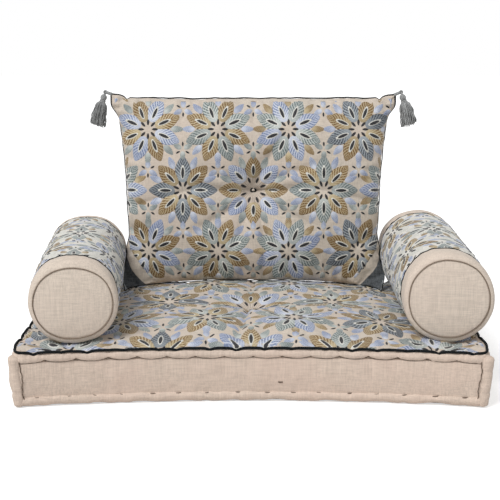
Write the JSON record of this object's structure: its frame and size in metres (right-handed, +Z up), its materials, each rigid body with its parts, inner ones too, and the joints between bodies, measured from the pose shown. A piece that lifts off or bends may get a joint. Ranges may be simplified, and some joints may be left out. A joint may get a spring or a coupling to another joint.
{
  "type": "four-piece floor loveseat of loose cushions",
  "caption": "Floor seat for garden or patio: a stitched mattress pad with rolled edges, a tufted back cushion with corner tassels, and a bolster along each side.",
  "frame": {"origin": "on the floor, at the middle of the seat pad's underside", "axes": "+X to the right along the seat's width as a person in front of it sees it, +Y from the open front edge to the back cushion, +Z up"},
  "size_m": [1.0272, 0.7098, 0.6212],
  "materials": {
    "plain_linen": "matte",
    "embroidered_linen": "matte",
    "grey_cotton": "matte",
    "dark_piping": "matte",
    "dark_thread": "matte",
    "grey_yarn": "matte",
    "wadding": "matte"
  },
  "bodies": {
    "seat_pad": {"seat_filling": "wadding", "seat_top_cover": "embroidered_linen", "seat_bottom_cover": "plain_linen", "seat_border_front": "plain_linen", "seat_border_rear": "plain_linen", "seat_border_left": "plain_linen", "seat_border_right": "plain_linen", "seat_top_roll_front": "plain_linen", "seat_top_roll_rear": "plain_linen", "seat_top_roll_left": "plain_linen", "seat_top_roll_right": "plain_linen", "seat_bottom_roll_front": "plain_linen", "seat_bottom_roll_rear": "plain_linen", "seat_bottom_roll_left": "plain_linen", "seat_bottom_roll_right": "plain_linen", "seat_corner_roll_front_left": "plain_linen", "seat_corner_roll_front_right": "plain_linen", "seat_corner_roll_rear_left": "plain_linen", "seat_corner_roll_rear_right": "plain_linen", "seat_piping": "dark_piping", "seat_tuft_twine": "dark_thread", "seat_tuft_ring_top": "dark_thread", "seat_tuft_ring_bottom": "dark_thread"},
    "back_cushion": {"back_filling": "wadding", "back_front_cover": "embroidered_linen", "back_rear_cover": "grey_cotton", "back_piping": "dark_piping", "back_tuft_twine": "dark_thread", "back_tuft_ring_front": "dark_thread", "back_tuft_ring_rear": "dark_thread"},
    "bolster_left": {"bolster_left_filling": "wadding", "bolster_left_sleeve": "embroidered_linen", "bolster_left_front_band": "plain_linen", "bolster_left_rear_band": "plain_linen", "bolster_left_front_disc": "plain_linen", "bolster_left_rear_disc": "plain_linen", "bolster_left_front_cord": "plain_linen", "bolster_left_rear_cord": "plain_linen"},
    "bolster_right": {"bolster_right_filling": "wadding", "bolster_right_sleeve": "embroidered_linen", "bolster_right_front_band": "plain_linen", "bolster_right_rear_band": "plain_linen", "bolster_right_front_disc": "plain_linen", "bolster_right_rear_disc": "plain_linen", "bolster_right_front_cord": "plain_linen", "bolster_right_rear_cord": "plain_linen"},
    "tassel_left": {"tassel_left_loop": "grey_yarn", "tassel_left_head": "grey_yarn", "tassel_left_binding": "grey_yarn", "tassel_left_skirt": "grey_yarn"},
    "tassel_right": {"tassel_right_loop": "grey_yarn", "tassel_right_head": "grey_yarn", "tassel_right_binding": "grey_yarn", "tassel_right_skirt": "grey_yarn"}
  },
  "joints": [
    {"name": "back_cushion_lift", "type": "slide", "parent": "seat_pad", "child": "back_cushion", "axis": [0, 0, 1], "range_m": [0, 0.3]},
    {"name": "bolster_left_lift", "type": "slide", "parent": "seat_pad", "child": "bolster_left", "axis": [0, 0, 1], "range_m": [0, 0.2]},
    {"name": "bolster_right_lift", "type": "slide", "parent": "seat_pad", "child": "bolster_right", "axis": [0, 0, 1], "range_m": [0, 0.2]},
    {"name": "tassel_left_swing", "type": "hinge", "parent": "back_cushion", "child": "tassel_left", "pos_m": [-0.36054, 0.26917, 0.61471], "axis": [0, 1, 0], "range_deg": [-18, 60]},
    {"name": "tassel_right_swing", "type": "hinge", "parent": "back_cushion", "child": "tassel_right", "pos_m": [0.37254, 0.26917, 0.61471], "axis": [0, -1, 0], "range_deg": [-18, 60]}
  ]
}
